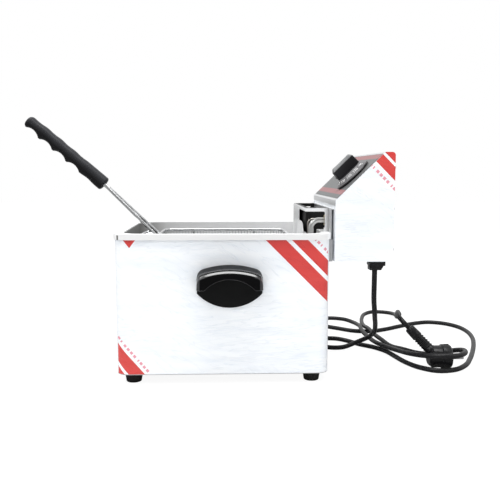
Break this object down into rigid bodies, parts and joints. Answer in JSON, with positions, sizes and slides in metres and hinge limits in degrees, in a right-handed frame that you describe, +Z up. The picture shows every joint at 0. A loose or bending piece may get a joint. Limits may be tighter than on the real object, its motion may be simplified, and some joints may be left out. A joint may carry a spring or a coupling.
{
  "type": "deep fryer",
  "caption": "Table-top electric deep fryer: steel case, lift-out oil tank, wire basket with angled handle, lift-off control head with knob and mains cord.",
  "frame": {"origin": "on the table, under the middle of the fryer's length and width, cord left out", "axes": "+X from the basket grip towards the control head, +Y across the fryer, away from the side nearer the knob, +Z up"},
  "size_m": [0.8084, 0.5333, 0.4065],
  "materials": {
    "case": "white protective film over steel sheet",
    "bare_steel": "satin",
    "foot_rubber": "matt",
    "fixings": "bright",
    "bakelite": "glossy phenolic",
    "tank_steel": "satin",
    "mesh": "bright woven wire",
    "chromed_wire": "bright",
    "grip_plastic": "semi-matt",
    "overlay": "satin grey print",
    "inner_parts": "moulded",
    "knob_plastic": "satin black",
    "lens": "clear tinted",
    "reset_red": "glossy",
    "terminal": "moulded",
    "heater_steel": "heat-tinted",
    "brass": "bright",
    "copper": "bright copper",
    "chromed_sheet": "bright",
    "cord_black": "satin"
  },
  "bodies": {
    "case": {"case_shell": "case", "base_plate": "bare_steel", "feet": "foot_rubber", "foot_screws": "fixings", "side_handle_near": "bakelite", "side_handle_far": "bakelite", "head_rails": "bare_steel"},
    "tank": {"oil_tank": "tank_steel"},
    "head": {"head_body": "case", "head_cover": "bare_steel", "head_hanger": "bare_steel", "panel_overlay": "overlay", "cover_screws": "fixings", "thermostat": "inner_parts", "lamp_bezels": "knob_plastic", "lamp_lenses": "lens", "limit_cutout": "inner_parts", "reset_bush": "fixings", "terminal_block": "terminal", "heating_element": "heater_steel", "element_nuts": "brass", "tie_bars": "bare_steel", "sensor_bulbs": "copper", "element_guard": "chromed_sheet", "cord_gland": "cord_black", "cord": "cord_black", "plug_body": "cord_black", "plug_pins": "brass"},
    "knob": {"knob": "knob_plastic", "thermostat_shaft": "fixings"},
    "reset_button": {"reset_button": "reset_red"},
    "basket": {"basket_mesh": "mesh", "basket_rim": "chromed_wire", "basket_frame": "chromed_wire", "basket_hook": "chromed_wire", "handle_stem": "chromed_wire", "handle_grip": "grip_plastic"}
  },
  "joints": [
    {"name": "tank_lift", "type": "slide", "parent": "case", "child": "tank", "axis": [0, 0, 1], "range_m": [0, 0.2]},
    {"name": "head_lift", "type": "slide", "parent": "tank", "child": "head", "axis": [0, 0, 1], "range_m": [0, 0.2]},
    {"name": "basket_lift", "type": "slide", "parent": "head", "child": "basket", "axis": [0, 0, 1], "range_m": [0, 0.2]},
    {"name": "knob_turn", "type": "hinge", "parent": "head", "child": "knob", "pos_m": [0.23163, -0.064, 0.313], "axis": [0.6998, 0, -0.7144], "range_deg": [0, 280]},
    {"name": "reset_press", "type": "slide", "parent": "head", "child": "reset_button", "axis": [-1, 0, 0], "range_m": [0, 0.003], "stiffness_N_per_m": 400, "springref_m": -0.002}
  ]
}
